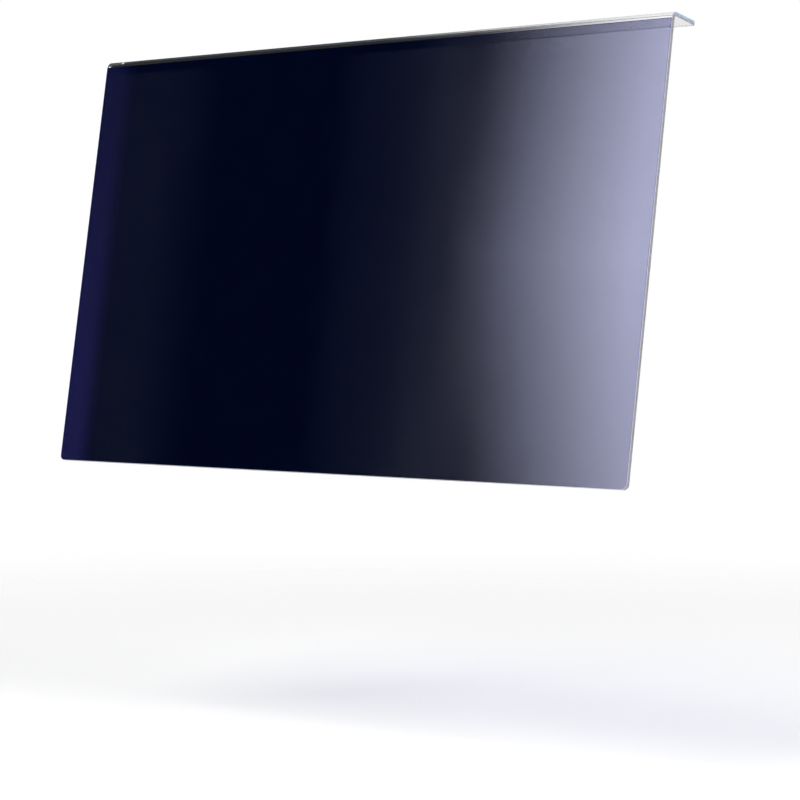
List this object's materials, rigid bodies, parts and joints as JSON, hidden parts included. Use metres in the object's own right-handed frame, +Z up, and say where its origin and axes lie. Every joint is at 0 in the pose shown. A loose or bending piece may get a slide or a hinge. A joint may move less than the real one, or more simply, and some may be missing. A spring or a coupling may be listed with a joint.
{
  "type": "monitor privacy filter",
  "caption": "Dark micro-louvre privacy film on a clear acrylic panel whose top is bent back into a hook lip, so that it hangs on the upper edge of a desktop display.",
  "frame": {"origin": "middle of the flat underside of the hook lip, which is what the filter hangs by", "axes": "+X along the width, -Y out of the front of the panel, +Z up"},
  "size_m": [0.53, 0.0295, 0.32],
  "materials": {
    "clear_acrylic": "clear, polished",
    "louvre_film": "dark blue, see-through from straight ahead, low-glare coating"
  },
  "bodies": {
    "root": {"hanger_sheet": "clear_acrylic", "privacy_film": "louvre_film"}
  },
  "joints": []
}
